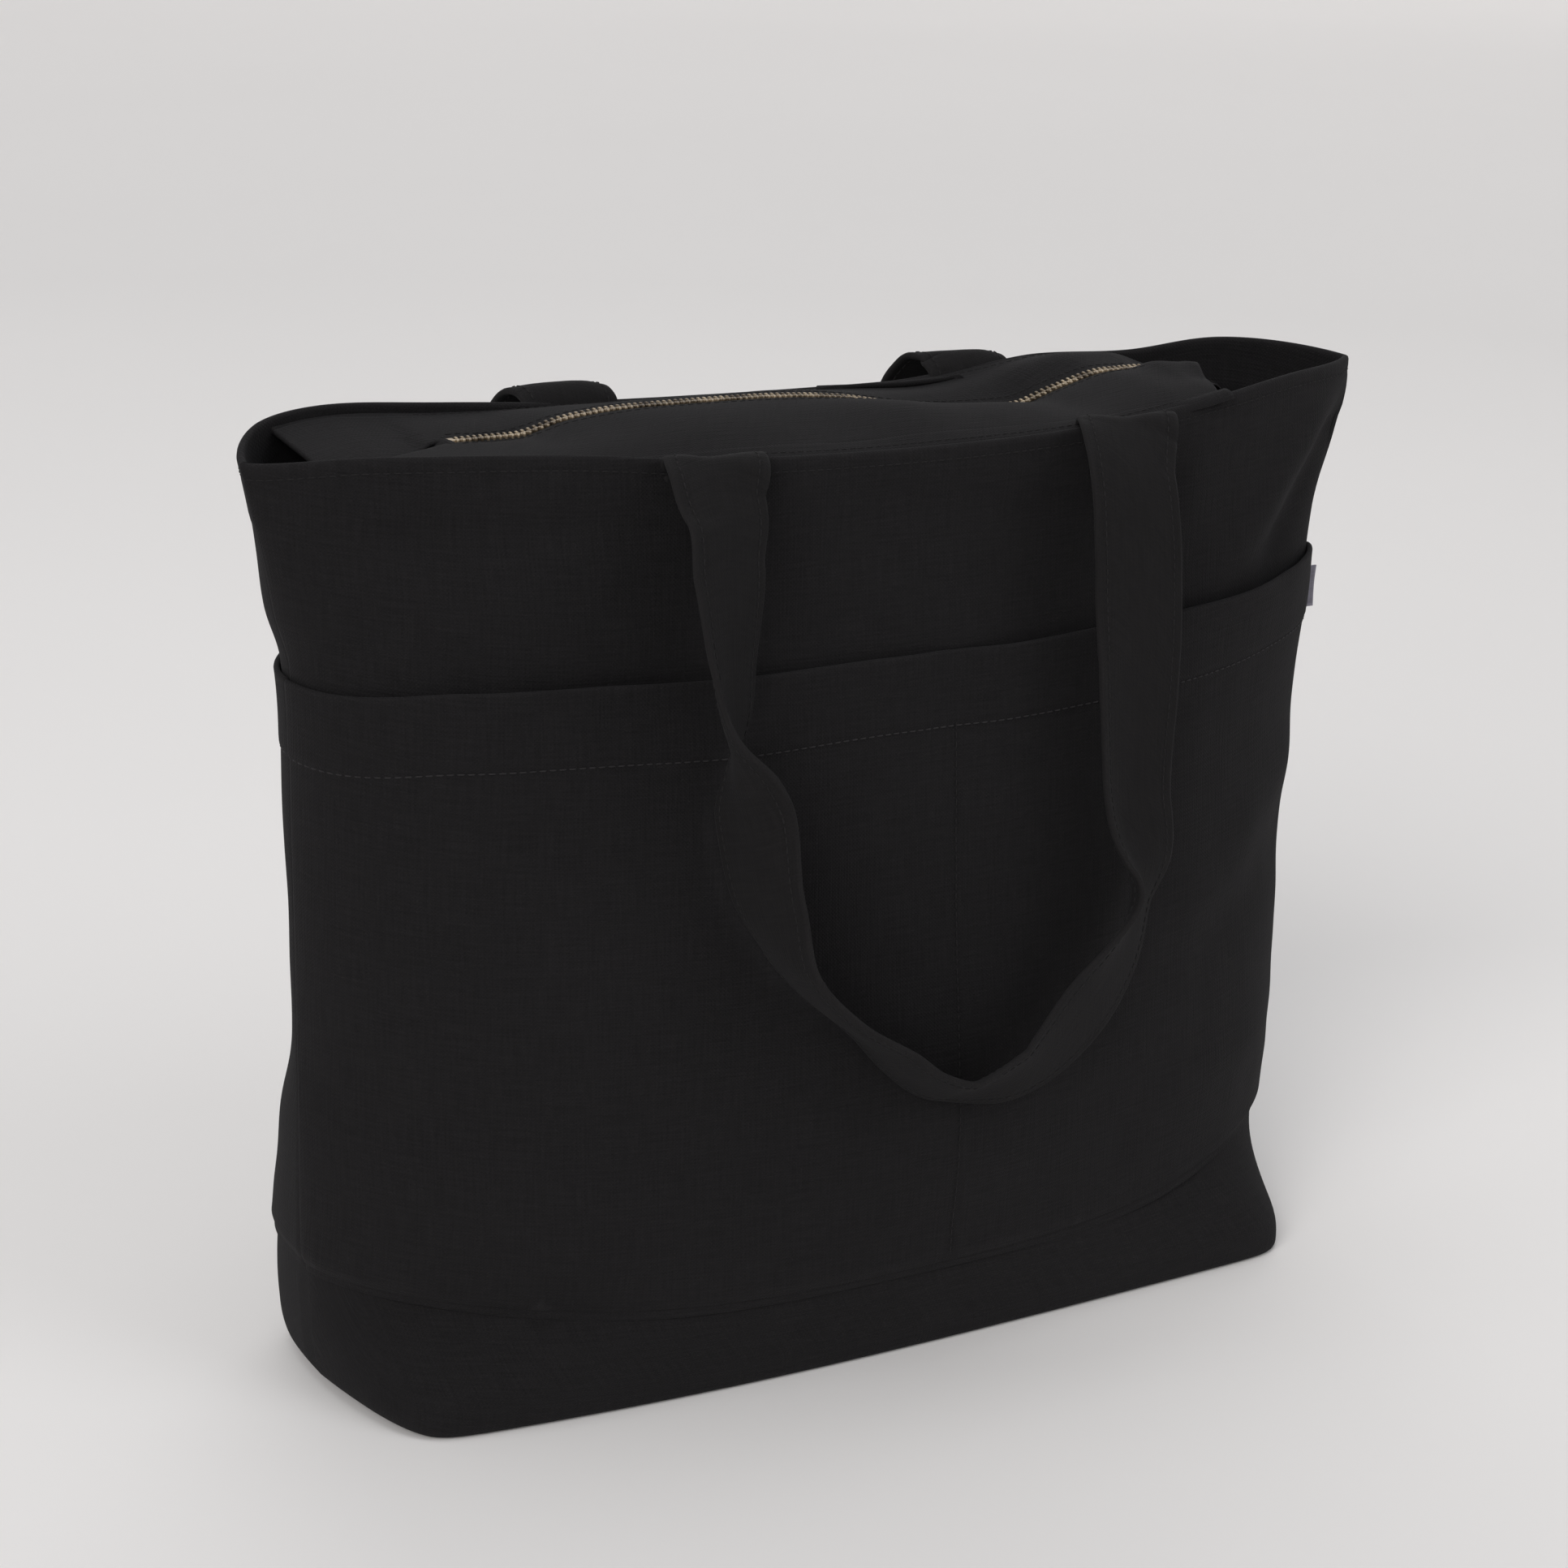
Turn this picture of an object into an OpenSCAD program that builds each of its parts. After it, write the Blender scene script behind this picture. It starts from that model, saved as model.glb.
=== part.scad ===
// Zip-top canvas tote bag: boxed base, outside pockets on both faces, two strap handles.
// Millimetres. X runs across the bag, -Y is the front face, +Z is up.
// The origin is on the floor, under the middle of the bag.

/* [Bag body] */
// Width between the side seams at the mouth
top_w = 506; // [420:1:560]
// Width between the side seams at the pocket tops
chest_w = 468; // [400:1:540]
// Width between the side seams just above the base panel
belly_w = 454; // [380:1:520]
// Width of the base on the floor
base_w = 432; // [360:1:500]
// Height of the mouth corners above the floor
bag_h = 376; // [300:1:420]
// Depth of the base on the floor
base_d = 132; // [90:1:170]
// Depth at the fullest part of the body
belly_d = 144; // [100:1:180]
// Depth of the mouth at the middle
mouth_d = 108; // [90:1:140]
// Thickness of the canvas
canvas_t = 1.4; // [0.8:0.1:2.5]
// How far the mouth edge sags in the middle
mouth_sag = 4; // [0:0.5:12]

/* [Base panel] */
// Height of the base seam at the side seams
base_seam_end = 55; // [40:1:80]
// Height of the base seam at the middle of each face
base_seam_mid = 40; // [25:1:60]
// How far the two ends of the base lift off the floor
end_lift = 8; // [0:1:15]

/* [Outside pockets] */
// Height of the pocket tops at the side seams
pocket_z = 297; // [240:1:320]
// How far the pocket tops sag in the middle
pocket_sag = 7; // [0:1:15]
// How far a pocket mouth stands open
pocket_gape = 9; // [4:1:14]
// Across position of the front pocket's divider
divider_x = 18; // [-60:1:60]

/* [Handles] */
// Width of the strap
strap_w = 38; // [25:1:50]
// Thickness of the folded strap
strap_t = 3; // [2:0.5:5]
// Distance of each strap leg from the middle of the bag
leg_x = 92; // [70:1:110]
// Height at which the straight legs end and the loop begins
loop_z = 206; // [180:1:240]
// Turn of the strap at the bottom of the loop, in degrees
loop_turn = 58; // [0:1:75]

/* [Zip] */
// Distance of the zip line behind the middle of the mouth
zip_y = 10; // [0:1:12]
// Height of the zip line
zip_z = 370; // [366:1:372]
// Half length of the facing strips on each side of the zip
facing_half = 165; // [140:1:165]
// Distance of the tapes' right end from the middle of the bag
tape_right = 180; // [172:1:182]
// Tooth pitch
tooth_pitch = 2.5; // [2:0.1:4]
// Half width of the slider
slider_w = 5.4; // [4.5:0.1:6]
// Position of the slider when the zip is closed
slider_x = 170; // [150:1:170]
// Length of the puller
puller_len = 26; // [18:1:30]

/* [Side tag] */
// Height of the tag's lower edge
tag_z = 268; // [200:1:275]
// Height of the tag
tag_h = 18; // [10:1:24]
// Distance the tag stands out of the seam
tag_out = 6; // [4:1:12]

/* [Hidden] */
canvas_color = [0.12, 0.12, 0.13];
pocket_color = [0.15, 0.15, 0.16];
strap_color = [0.10, 0.10, 0.11];
brass_color = [0.60, 0.52, 0.42];
$fn = 32;
// columns across a panel
nu = 40;
// gap between cloth layers that lie on each other
layer_gap = 0.3;
// the facing strips start just inside the mouth and stop beside the teeth
facing_y = 45;
facing_end_y = 39.5;
facing_taper = 45;
tape_left = facing_half;
facing_clear = 8;
facing_t = 1.2;
// the handle leaves the mouth seam and arches out and down, as [distance out from the middle, height];
// its hinge line is the first of these points
fold = [[54.5, 378], [58, 379], [63, 378], [68, 374.5], [73, 368], [77.5, 359], [81, 347], [84, 335], [85.5, 322]];
fold_end = 322;
hang_y = 86;

// ---- shape of the bag: half width, half depth and the two exponents of the section at height z
function half_w(z) = lookup(z, [[0, base_w / 2], [12, base_w / 2 + 4], [55, belly_w / 2],
                                [180, (belly_w + chest_w) / 4], [297, chest_w / 2], [376, top_w / 2]]);
function half_d(z) = lookup(z, [[0, base_d / 2], [12, base_d / 2 + 3], [50, belly_d / 2], [150, belly_d / 2],
                                [230, belly_d / 2 - 4], [297, belly_d / 2 - 6], [340, mouth_d / 2 + 6], [376, mouth_d / 2]]);
function exp_x(z) = lookup(z, [[0, 10], [20, 7], [55, 4], [297, 3.6], [376, 3.2]]);
function exp_y(z) = lookup(z, [[0, 6], [20, 4], [55, 2.4], [200, 2], [297, 1.7], [376, 1.2]]);
function spread(u) = sin(90 * u);
function depth_share(s, z) = pow(max(0, 1 - pow(min(1, abs(s)), exp_x(z))), 1 / exp_y(z));
// a point of the front skin: u from -1 at the left seam to 1 at the right seam, off = distance outside it
function skin(u, z, off) = [(half_w(z) + off) * spread(u), -(half_d(z) + off) * depth_share(spread(u), z), z];

// ---- edges that run round the bag
function lift(u) = end_lift * pow(max(0, abs(spread(u)) - 0.8) / 0.2, 2);
function seam_z(u) = base_seam_mid + (base_seam_end - base_seam_mid) * pow(abs(spread(u)), 2.4);
function mouth_z(u) = bag_h - mouth_sag * (1 - pow(spread(u), 2));
function pocket_top_z(u) = pocket_z - pocket_sag * (1 - pow(spread(u), 2));
function mix(a, b, t) = a + (b - a) * t;
// how far a pocket stands off the panel: nothing at the seams, the base and the divider
function held(x, at) = 1 - exp(-pow((x - at) / 16, 2));
function gape(u, t, div) = pocket_gape * pow(t, 0.7) * (1 - pow(abs(spread(u)), 6))
    * (div ? held(half_w(200) * spread(u), divider_x) : 1);

// ---- a closed sheet between an outer and an inner grid of points
function quad(a, b, c, d) = [[a, b, c], [a, c, d]];
module sheet(outer, inner) {
    rows = len(outer);
    cols = len(outer[0]);
    n = rows * cols;
    pts = concat([for (r = outer) for (p = r) p], [for (r = inner) for (p = r) p]);
    faces = concat(
        [for (i = [0:rows - 2]) for (j = [0:cols - 2])
            each quad(i * cols + j, (i + 1) * cols + j, (i + 1) * cols + j + 1, i * cols + j + 1)],
        [for (i = [0:rows - 2]) for (j = [0:cols - 2])
            each quad(n + i * cols + j, n + i * cols + j + 1, n + (i + 1) * cols + j + 1, n + (i + 1) * cols + j)],
        [for (j = [0:cols - 2]) each quad(j, j + 1, n + j + 1, n + j)],
        [for (j = [0:cols - 2])
            each quad((rows - 1) * cols + j, n + (rows - 1) * cols + j,
                      n + (rows - 1) * cols + j + 1, (rows - 1) * cols + j + 1)],
        [for (i = [0:rows - 2]) each quad(i * cols, n + i * cols, n + (i + 1) * cols, (i + 1) * cols)],
        [for (i = [0:rows - 2])
            each quad(i * cols + cols - 1, (i + 1) * cols + cols - 1, n + (i + 1) * cols + cols - 1, n + i * cols + cols - 1)]);
    polyhedron(points = pts, faces = faces, convexity = 6);
}

// ---- canvas panels; a pocket and the panel behind it share their rows of points, so they lie parallel
pocket_rows = 7;
upper_rows = 4;
function row_z(u, i) = i <= pocket_rows ? mix(seam_z(u), pocket_top_z(u), i / pocket_rows)
    : mix(pocket_top_z(u), mouth_z(u), (i - pocket_rows) / upper_rows);
module face_panel() {
    rows = pocket_rows + upper_rows;
    sheet([for (i = [0:rows]) [for (j = [0:nu]) let (u = 2 * j / nu - 1) skin(u, row_z(u, i), 0)]],
          [for (i = [0:rows]) [for (j = [0:nu]) let (u = 2 * j / nu - 1) skin(u, row_z(u, i), -canvas_t)]]);
}
module outside_pocket(div) {
    sheet([for (i = [0:pocket_rows]) [for (j = [0:nu]) let (u = 2 * j / nu - 1)
              skin(u, row_z(u, i), layer_gap + gape(u, i / pocket_rows, div) + canvas_t)]],
          [for (i = [0:pocket_rows]) [for (j = [0:nu]) let (u = 2 * j / nu - 1)
              skin(u, row_z(u, i), layer_gap + gape(u, i / pocket_rows, div))]]);
}
// the base is one cup: floor and upstand in one piece of cloth
module base_cup(rows) {
    loop = 2 * nu;
    n = (rows + 1) * loop;
    pts = concat(
        [for (i = [0:rows]) for (k = [0:loop - 1]) cup_point(k, i / rows, 0)],
        [for (i = [0:rows]) for (k = [0:loop - 1]) cup_point(k, i / rows, canvas_t)]);
    faces = concat(
        [for (i = [0:rows - 1]) for (k = [0:loop - 1]) let (m = (k + 1) % loop)
            each quad(i * loop + k, (i + 1) * loop + k, (i + 1) * loop + m, i * loop + m)],
        [for (i = [0:rows - 1]) for (k = [0:loop - 1]) let (m = (k + 1) % loop)
            each quad(n + i * loop + k, n + i * loop + m, n + (i + 1) * loop + m, n + (i + 1) * loop + k)],
        [for (k = [0:loop - 1]) let (m = (k + 1) % loop)
            each quad(rows * loop + k, n + rows * loop + k, n + rows * loop + m, rows * loop + m)],
        [for (j = [0:nu - 1]) each cap(j, j + 1, (loop - j - 1) % loop, (loop - j) % loop, 0)],
        [for (j = [0:nu - 1]) each cap(j, (loop - j) % loop, (loop - j - 1) % loop, j + 1, n)]);
    polyhedron(points = pts, faces = faces, convexity = 6);
}
function cap(a, b, c, d, n) = [for (f = quad(n + a, n + b, n + c, n + d)) if (f[0] != f[1] && f[1] != f[2] && f[0] != f[2]) f];
function cup_point(k, t, inset) =
    let (front = k <= nu, u = front ? 2 * k / nu - 1 : 3 - 2 * k / nu,
         z = mix(lift(u) + inset, seam_z(u), t), p = skin(u, z, -inset))
    [p[0], front ? p[1] : -p[1], p[2]];

// seam allowances of the two panels, turned inwards and bound
module seam_binding() {
    rows = 12;
    sheet([for (i = [0:rows]) let (z = mix(base_seam_end + 1, bag_h - 8, i / rows), x = half_w(z) - canvas_t - 0.8)
              [[x - 10, -1.2, z], [x, -1.2, z]]],
          [for (i = [0:rows]) let (z = mix(base_seam_end + 1, bag_h - 8, i / rows), x = half_w(z) - canvas_t - 0.8)
              [[x - 10, 1.2, z], [x, 1.2, z]]]);
}

// ---- handles
// one strap end, sewn down inside the mouth
module strap_end(side) {
    rows = 3;
    cols = 4;
    u1 = asin((leg_x - strap_w / 2) / half_w(356)) / 90;
    u2 = asin((leg_x + strap_w / 2) / half_w(356)) / 90;
    sheet([for (i = [0:rows]) [for (j = [0:cols]) skin(side * mix(u1, u2, side > 0 ? j / cols : 1 - j / cols),
                  mix(338, 371, i / rows), -canvas_t - 0.4)]],
          [for (i = [0:rows]) [for (j = [0:cols]) skin(side * mix(u1, u2, side > 0 ? j / cols : 1 - j / cols),
                  mix(338, 371, i / rows), -canvas_t - 0.4 - 2.2)]]);
}
// stations of one leg: [centre, direction of the strap's width], from the fold to the bottom of the loop
leg_steps = 6;
arc_steps = 12;
function turn(t) = loop_turn * (1 - cos(180 * t)) / 2;
function arc_station(t) =
    let (a = 90 * t, w = turn(t), out = strap_w / 2 * sin(w))
    [[leg_x * cos(a), -(hang_y + out), loop_z - leg_x * sin(a)],
     [cos(w) * cos(a), -sin(w), -cos(w) * sin(a)]];
function leg_stations() = concat(
    [for (p = fold) [[leg_x, -p[0], p[1]], [1, 0, 0]]],
    [for (i = [1:leg_steps - 1]) [[leg_x, -hang_y, mix(fold_end, loop_z, i / leg_steps)], [1, 0, 0]]],
    [for (i = [0:arc_steps]) arc_station(i / arc_steps)]);
function flip(s) = [[-s[0][0], s[0][1], s[0][2]], [s[1][0], -s[1][1], -s[1][2]]];
function handle_stations() = let (leg = leg_stations(), n = len(leg))
    concat([for (i = [0:n - 2]) flip(leg[i])], [for (i = [n - 1:-1:0]) leg[i]]);
function unit(v) = v / norm(v);
// the width direction points away from the loop's middle on the left leg and is carried round
function carried(st, i) = i < (len(st) - 1) / 2 ? -st[i][1] : st[i][1];
module strap(st) {
    n = len(st);
    pts = [for (i = [0:n - 1])
        let (c = st[i][0],
             tangent = unit(st[min(n - 1, i + 1)][0] - st[max(0, i - 1)][0]),
             w = unit(carried(st, i)),
             nrm = unit(cross(tangent, w)))
        each [c + w * strap_w / 2 + nrm * strap_t / 2, c + w * strap_w / 2 - nrm * strap_t / 2,
              c - w * strap_w / 2 - nrm * strap_t / 2, c - w * strap_w / 2 + nrm * strap_t / 2]];
    faces = concat([[0, 1, 2], [0, 2, 3]],
        [for (i = [0:n - 2]) for (k = [0:3]) let (m = (k + 1) % 4)
            each quad(4 * i + k, 4 * i + 4 + k, 4 * i + 4 + m, 4 * i + m)],
        [[4 * n - 4, 4 * n - 2, 4 * n - 3], [4 * n - 4, 4 * n - 1, 4 * n - 2]]);
    polyhedron(points = pts, faces = faces, convexity = 8);
}

// ---- zip parts
module block(lo, hi) {
    translate(lo) cube(hi - lo);
}
// a toothed strip along X; side is -1 for the front half, 1 for the rear half
module comb(side) {
    count = floor((slider_x + tape_left - 4) / tooth_pitch);
    start = -tape_left + 3 + (side > 0 ? tooth_pitch / 2 : 0);
    tooth = tooth_pitch / 2 - 0.1;
    outline = concat([[start, side * 2.2]],
        [for (i = [0:count - 1]) let (x = start + i * tooth_pitch)
            each [[x, side * 1.2], [x, -side * 0.9], [x + tooth, -side * 0.9], [x + tooth, side * 1.2]]],
        [[start + (count - 1) * tooth_pitch + tooth, side * 2.2]]);
    translate([0, zip_y, zip_z - 1.2]) linear_extrude(2.4) polygon(outline);
}

module base_panel() { color(canvas_color) base_cup(4); }
module front_panel() { color(canvas_color) face_panel(); }
module back_panel() { color(canvas_color) mirror([0, 1, 0]) face_panel(); }
module front_pocket() { color(pocket_color) outside_pocket(true); }
module back_pocket() { color(pocket_color) mirror([0, 1, 0]) outside_pocket(false); }
module left_seam_binding() { color(strap_color) mirror([1, 0, 0]) seam_binding(); }
module right_seam_binding() { color(strap_color) seam_binding(); }
module side_tag() {
    x = half_w(tag_z + tag_h / 2) + canvas_t + 0.8;
    color([0.55, 0.53, 0.58]) block([x, -0.5, tag_z], [x + tag_out, 0.5, tag_z + tag_h]);
}
module front_strap_ends() {
    color(strap_color) strap_end(1);
    color(strap_color) strap_end(-1);
}
module rear_strap_ends() {
    color(strap_color) mirror([0, 1, 0]) strap_end(1);
    color(strap_color) mirror([0, 1, 0]) strap_end(-1);
}
module front_handle() { color(strap_color) strap(handle_stations()); }
module rear_handle() { color(strap_color) mirror([0, 1, 0]) strap(handle_stations()); }
// a strip from just inside the mouth to beside the teeth, narrowing where the mouth does
module facing(side) {
    inner = zip_y + side * facing_clear;
    translate([0, 0, zip_z + 0.35]) linear_extrude(facing_t)
        polygon([[-facing_half, inner], [-facing_half, side * facing_end_y], [facing_taper - facing_half, side * facing_y],
                 [facing_half - facing_taper, side * facing_y], [facing_half, side * facing_end_y], [facing_half, inner]]);
}
module front_zip_facing() { color(canvas_color) facing(-1); }
module rear_zip_facing() { color(canvas_color) facing(1); }
module front_zip_tape() {
    color(strap_color) block([-tape_left, zip_y - 14, zip_z - 0.3], [tape_right, zip_y - 2.2, zip_z + 0.3]);
}
module rear_zip_tape() {
    color(strap_color) block([-tape_left, zip_y + 2.2, zip_z - 0.3], [tape_right, zip_y + 14, zip_z + 0.3]);
}
module front_zip_teeth() { color(brass_color) comb(-1); }
module rear_zip_teeth() { color(brass_color) comb(1); }
module front_top_stop() {
    color(brass_color) block([tape_right - 2.8, zip_y - 2.2, zip_z - 1.2], [tape_right - 0.6, zip_y - 0.4, zip_z + 1.2]);
}
module rear_top_stop() {
    color(brass_color) block([tape_right - 2.8, zip_y + 0.4, zip_z - 1.2], [tape_right - 0.6, zip_y + 2.2, zip_z + 1.2]);
}
module zip_bottom_stop() {
    color(brass_color) block([-tape_left, zip_y - 2.0, zip_z - 1.2], [-tape_left + 2.6, zip_y + 2.0, zip_z + 1.2]);
}
// folded canvas tabs that close the two ends of the zip
module zip_tab(x) {
    block([x + 0.4, zip_y - 12, zip_z - 2], [x + 12, zip_y + 12, zip_z + 2]);
}
module left_zip_tab() { color(canvas_color) mirror([1, 0, 0]) zip_tab(tape_left); }
module right_zip_tab() { color(canvas_color) zip_tab(tape_right); }
// two plates, the post that parts the teeth, side lips round the tapes and the bridge for the puller
module zip_slider() {
    color(brass_color) translate([slider_x, zip_y, zip_z]) union() {
        block([-5.5, -slider_w, 1.6], [5.5, slider_w, 2.8]);
        block([-5.5, -slider_w, -2.8], [5.5, slider_w, -1.6]);
        block([2.0, -1.4, -2.0], [5.0, 1.4, 2.0]);
        for (s = [-1, 1]) {
            for (v = [-1, 1]) {
                translate([0, s * (slider_w - 0.4), v * 1.3]) cube([11, 0.8, 1.0], center = true);
            }
        }
        block([-4.4, -0.9, 2.6], [-3.0, 0.9, 6.2]);
        block([3.0, -0.9, 2.6], [4.4, 0.9, 6.2]);
        block([-4.4, -0.9, 5.0], [4.4, 0.9, 6.2]);
    }
}
// flat puller on a cross bar that turns under the bridge; closed, it lies back along the zip
module zip_puller() {
    color(brass_color) translate([slider_x, zip_y, zip_z + 3.9]) mirror([1, 0, 0]) union() {
        rotate([90, 0, 0]) cylinder(h = 6.8, r = 0.75, center = true);
        for (s = [-1, 1]) {
            translate([3.2, s * 2.6, 0]) cube([6.4, 1.6, 1.5], center = true);
        }
        difference() {
            block([5.6, -3.4, -0.75], [puller_len, 3.4, 0.75]);
            translate([puller_len - 4, 0, 0]) cylinder(h = 4, r = 1.5, center = true);
        }
    }
}

base_panel();
front_panel();
back_panel();
front_pocket();
back_pocket();
left_seam_binding();
right_seam_binding();
side_tag();
front_strap_ends();
rear_strap_ends();
front_handle();
rear_handle();
front_zip_facing();
rear_zip_facing();
front_zip_tape();
rear_zip_tape();
front_zip_teeth();
rear_zip_teeth();
front_top_stop();
rear_top_stop();
zip_bottom_stop();
left_zip_tab();
right_zip_tab();
zip_slider();
zip_puller();
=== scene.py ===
"""Canvas tote bag: the visible cloth, straps and zip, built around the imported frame.

Shapes are worked out in millimetres and turned into metres when a mesh is made.
X runs across the bag, -Y is the front, +Z is up, and the origin is on the floor under its middle.
"""
import math

import bmesh
import bpy
import numpy as np
from mathutils import Matrix, Vector


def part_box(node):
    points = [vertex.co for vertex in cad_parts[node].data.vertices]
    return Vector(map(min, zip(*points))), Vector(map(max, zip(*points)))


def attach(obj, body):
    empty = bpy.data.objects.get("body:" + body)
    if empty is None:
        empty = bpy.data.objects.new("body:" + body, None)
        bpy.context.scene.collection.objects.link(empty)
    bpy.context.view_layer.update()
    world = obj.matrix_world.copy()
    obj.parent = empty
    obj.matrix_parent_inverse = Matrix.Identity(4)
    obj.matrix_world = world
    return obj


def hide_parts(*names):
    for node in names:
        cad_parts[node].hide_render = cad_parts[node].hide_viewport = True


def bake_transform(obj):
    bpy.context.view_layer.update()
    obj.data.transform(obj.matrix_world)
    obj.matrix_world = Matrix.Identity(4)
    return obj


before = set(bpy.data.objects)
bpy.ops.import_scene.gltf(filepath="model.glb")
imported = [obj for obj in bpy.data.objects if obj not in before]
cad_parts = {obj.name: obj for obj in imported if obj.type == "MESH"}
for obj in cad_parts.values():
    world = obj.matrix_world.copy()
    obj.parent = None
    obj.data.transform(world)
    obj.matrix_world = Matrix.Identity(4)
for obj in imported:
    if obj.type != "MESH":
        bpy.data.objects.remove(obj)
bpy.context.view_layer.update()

MM = 0.001
FRONT, BACK = -1, 1


# ---------------------------------------------------------------- small helpers
def keyed(keys, x):
    """A smooth curve through (place, value) pairs that never overshoots them, level beyond both ends."""
    places, values = (np.array(column, float) for column in zip(*keys))
    x = np.clip(np.asarray(x, float), places[0], places[-1])
    steps = np.diff(values) / np.diff(places)
    before, after = np.append(steps[0], steps), np.append(steps, steps[-1])
    steepest = 2.5 * np.minimum(np.abs(before), np.abs(after)) * (before * after > 0)
    slopes = np.clip(np.gradient(values, places), -steepest, steepest)
    i = np.clip(np.searchsorted(places, x) - 1, 0, len(places) - 2)
    h = places[i + 1] - places[i]
    t = (x - places[i]) / h
    return ((2 * t**3 - 3 * t**2 + 1) * values[i] + (t**3 - 2 * t**2 + t) * h * slopes[i]
            + (3 * t**2 - 2 * t**3) * values[i + 1] + (t**3 - t**2) * h * slopes[i + 1])


def ramp(x, start, end):
    """0 before start, 1 after end, smooth between them."""
    t = np.clip((np.asarray(x, float) - start) / (end - start), 0, 1)
    return t * t * (3 - 2 * t)


def mix(a, b, t):
    """A value that runs from a to b as t runs from 0 to 1."""
    return a + (b - a) * t


def unit(v):
    """Vectors along the last axis, brought to length 1."""
    return v / np.maximum(np.linalg.norm(v, axis=-1, keepdims=True), 1e-9)


def across(x, y, z):
    """Three arrays of one shape as an array of points."""
    return np.stack(np.broadcast_arrays(x, y, z), -1).astype(float)


def ripples(seed, x, z, shortest, longest, height, count=9):
    """Sum of plane waves with seeded directions, as soft unevenness of the cloth."""
    rng = np.random.default_rng(seed)
    total = 0
    for _ in range(count):
        length = rng.uniform(shortest, longest)
        heading = rng.uniform(0, math.pi)
        phase = rng.uniform(0, 2 * math.pi)
        along = x * math.cos(heading) + z * math.sin(heading)
        total = total + np.sin(2 * math.pi * along / length + phase)
    return total * height / math.sqrt(count)


def fold(x, z, start, end, width, height):
    """A soft ridge, or a valley where height is negative, along a straight line that fades at both ends."""
    (x0, z0), (x1, z1) = start, end
    length = math.hypot(x1 - x0, z1 - z0)
    ux, uz = (x1 - x0) / length, (z1 - z0) / length
    along = ((x - x0) * ux + (z - z0) * uz) / length
    aside = -(x - x0) * uz + (z - z0) * ux
    fade = ramp(along, -0.25, 0.25) * (1 - ramp(along, 0.75, 1.25))
    return height * np.exp(-(aside / width) ** 2) * fade


# ---------------------------------------------------------------- shape of the bag
# half width between the side seams, left and right of the middle, as (height, half width)
LEFT_WIDTH = [(0, 217), (8, 222), (55, 226), (130, 227.5), (230, 230), (296, 232.5), (315, 238), (335, 242),
              (376, 251.5), (386, 254)]
RIGHT_WIDTH = [(0, 216), (8, 219), (36, 225), (70, 228), (130, 229), (188, 229), (271, 233), (315, 236.5),
               (345, 245), (366, 249), (386, 248)]
# half depth in the middle of each face, as (height, half depth)
DEPTH = {
    FRONT: [(0, 76), (14, 78), (46, 81), (110, 78), (200, 70), (292, 60), (340, 56), (376, 53), (386, 52)],
    BACK: [(0, 67), (14, 71), (50, 72), (150, 71), (230, 66), (297, 60), (340, 56), (376, 51), (386, 50)],
}
# how square each quarter of the section is: (height, exponent across), (height, exponent in depth)
SQUARE = {
    (FRONT, -1): ([(0, 34), (22, 10), (50, 2.6), (200, 3.4), (292, 4), (376, 3)],
                  [(0, 1.0), (22, 1.25), (50, 1.6), (200, 1.9), (292, 2), (376, 1.2)]),
    (FRONT, 1): ([(0, 34), (22, 10), (50, 2.6), (200, 2.6), (292, 2.5), (376, 3)],
                 [(0, 1.0), (22, 1.25), (50, 1.6), (200, 1.5), (292, 1.35), (376, 1.2)]),
    (BACK, -1): ([(0, 30), (14, 28), (60, 10), (110, 6), (150, 3.4), (200, 3.2), (240, 4.4), (297, 5),
                  (376, 10)],
                 [(0, 2.4), (14, 3), (60, 2.7), (110, 2.2), (150, 1.7), (200, 1.7), (297, 2), (376, 1.4)]),
    (BACK, 1): ([(0, 22), (14, 20), (60, 9), (200, 5), (297, 5), (376, 14)],
                [(0, 2), (14, 2.2), (60, 2.4), (200, 2), (297, 2), (376, 1.7)]),
}
# height of the mouth edge, as (place across, height); the handles pull its middle down
MOUTH = {
    FRONT: [(-252, 373), (-212, 377.5), (-176, 378), (-136, 376.8), (-100, 373.5), (-86, 372.5), (-62, 371.5),
            (0, 370), (60, 370.5), (98, 372.5), (150, 376), (200, 379), (250, 377)],
    BACK: [(-252, 373.5), (-230, 379), (-200, 380.5), (-150, 377), (-105, 373.5), (-60, 371.5), (0, 370.5),
           (50, 369.5), (90, 373), (125, 376.5), (170, 374.5), (215, 378), (250, 377)],
}
# thickness of the canvas, drop of the pocket hem below its edge, place of the pocket divider across the bag
CANVAS = 1.4
HEM_DROP = 29
DIVIDER_X = 18
# half width of a pocket, height of the mouth, and how far the raw edges lie under the tables above
POCKET_HALF = 232
MOUTH_Z = 376
EDGE_DROP = 1.5
POCKET_EDGE_DROP = 1.2
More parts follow.
